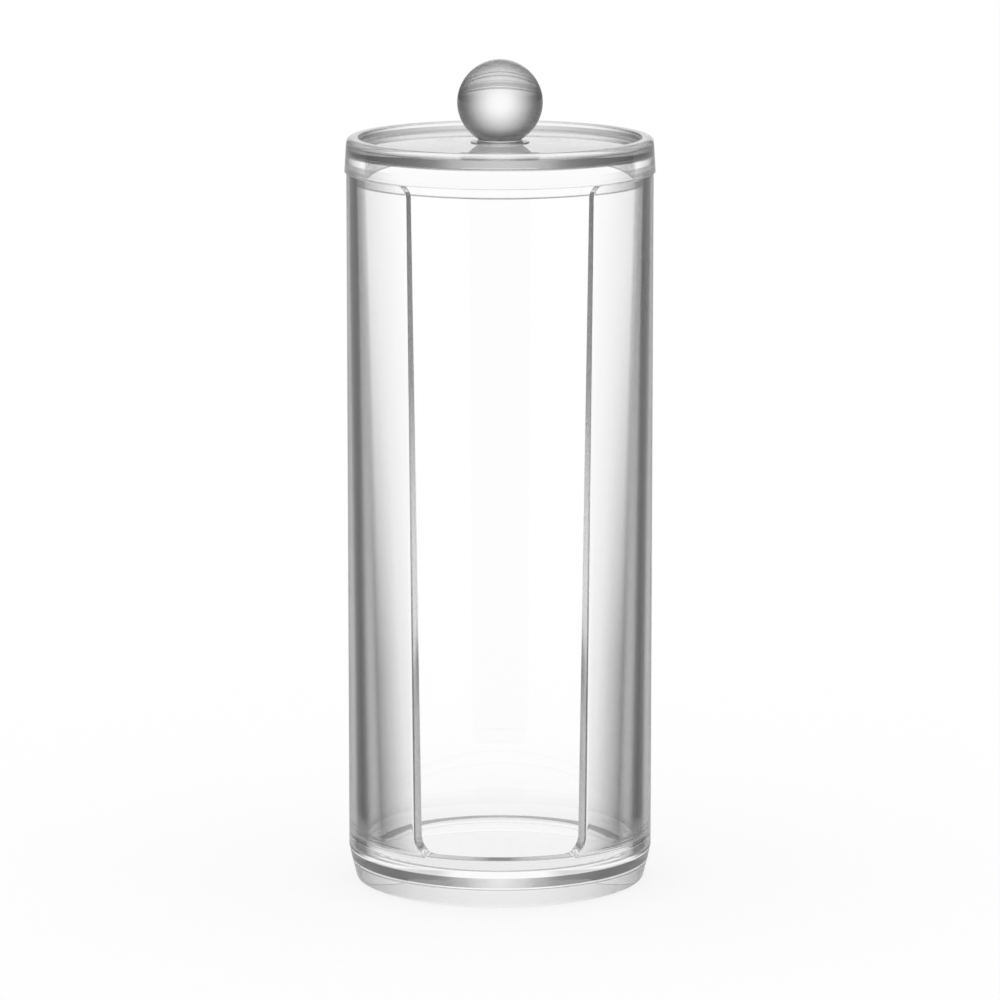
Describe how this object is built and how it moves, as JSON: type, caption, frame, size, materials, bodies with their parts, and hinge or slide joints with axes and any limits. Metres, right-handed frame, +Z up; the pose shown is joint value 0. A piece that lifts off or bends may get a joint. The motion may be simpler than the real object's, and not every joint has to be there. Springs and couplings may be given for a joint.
{
  "type": "cotton pad container",
  "caption": "Tall clear round jar for cotton pads with a long front slot open at the rim, a tapered foot, a lift-off lid with a locating ring, and a ball knob.",
  "frame": {"origin": "on the jar's axis, in the plane of the foot ring that touches the table", "axes": "+Z up along the jar's axis, the front slot faces -Y, +X to the right of someone facing the slot"},
  "size_m": [0.071, 0.071, 0.1897],
  "materials": {
    "clear_body": "clear moulded acrylic, polished",
    "clear_lid": "clear moulded acrylic, polished",
    "clear_knob": "clear moulded acrylic, polished"
  },
  "bodies": {
    "jar": {"body": "clear_body"},
    "cover": {"lid": "clear_lid", "knob": "clear_knob"}
  },
  "joints": [
    {"name": "lid_lift", "type": "slide", "parent": "jar", "child": "cover", "axis": [0, 0, 1], "range_m": [0, 0.05]}
  ]
}
